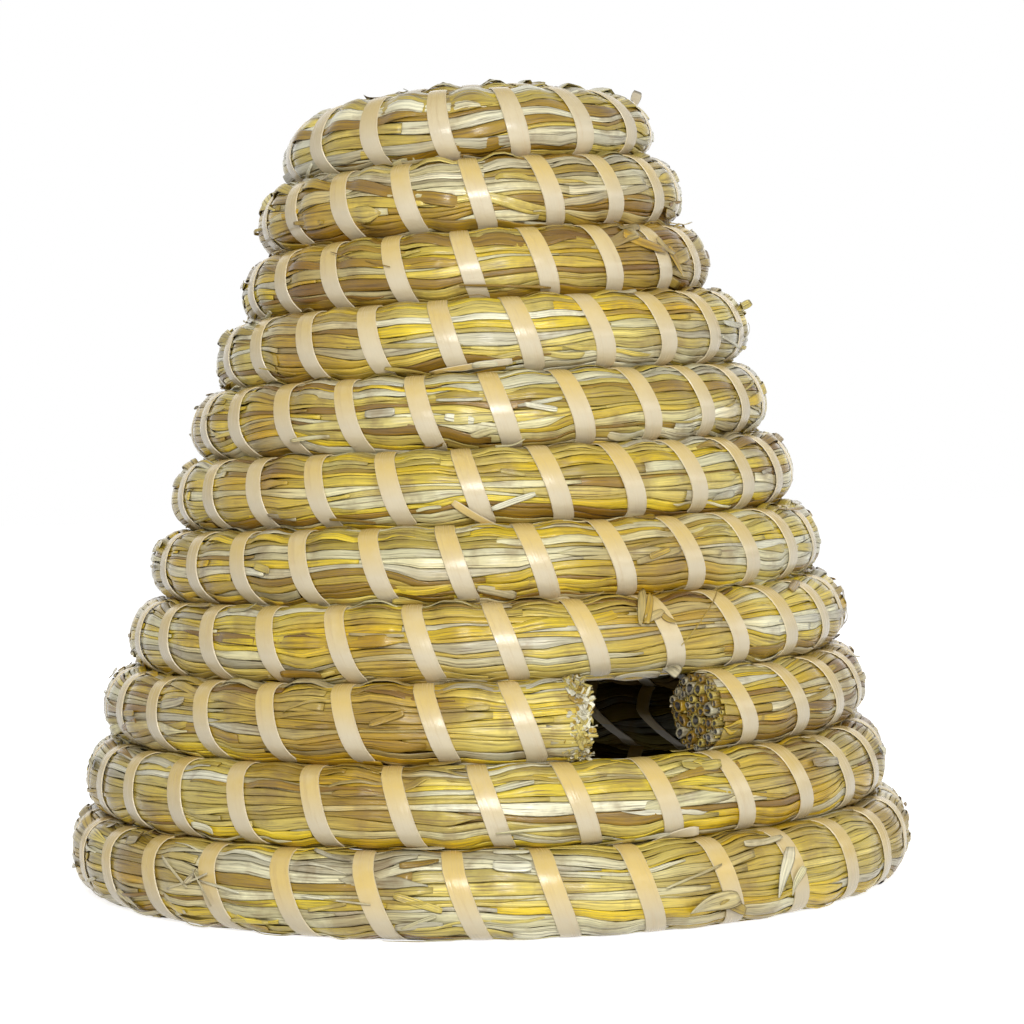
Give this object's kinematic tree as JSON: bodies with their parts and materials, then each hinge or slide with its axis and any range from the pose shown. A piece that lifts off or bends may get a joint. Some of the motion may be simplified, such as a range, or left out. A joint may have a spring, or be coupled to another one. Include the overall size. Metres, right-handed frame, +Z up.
{
  "type": "bee skep",
  "caption": "Bell-shaped straw bee skep: one thick straw rope coiled from crown to base, bound with split-cane strip, with a gap left in a lower row as the entrance.",
  "frame": {"origin": "centre of the base on the surface the skep stands on", "axes": "+Z up through the middle of the crown, -Y to the front, where the entrance is"},
  "size_m": [0.4013, 0.3985, 0.381],
  "materials": {
    "straw": "dry straw stalks and blades, matt with a slight natural gloss",
    "cane": "split cane strip, smooth and softly glossy, greyer low down"
  },
  "bodies": {
    "root": {"coil_crown": "straw", "binding_crown": "cane", "coil_lap_01": "straw", "binding_lap_01": "cane", "coil_lap_02": "straw", "binding_lap_02": "cane", "coil_lap_03": "straw", "binding_lap_03": "cane", "coil_lap_04": "straw", "binding_lap_04": "cane", "coil_lap_05": "straw", "binding_lap_05": "cane", "coil_lap_06": "straw", "binding_lap_06": "cane", "coil_lap_07": "straw", "binding_lap_07": "cane", "coil_lap_08": "straw", "binding_lap_08": "cane", "coil_lap_09": "straw", "binding_lap_09": "cane", "coil_lap_10": "straw", "binding_lap_10": "cane", "coil_lap_11": "straw", "binding_lap_11": "cane", "crown_plug": "straw"}
  },
  "joints": []
}
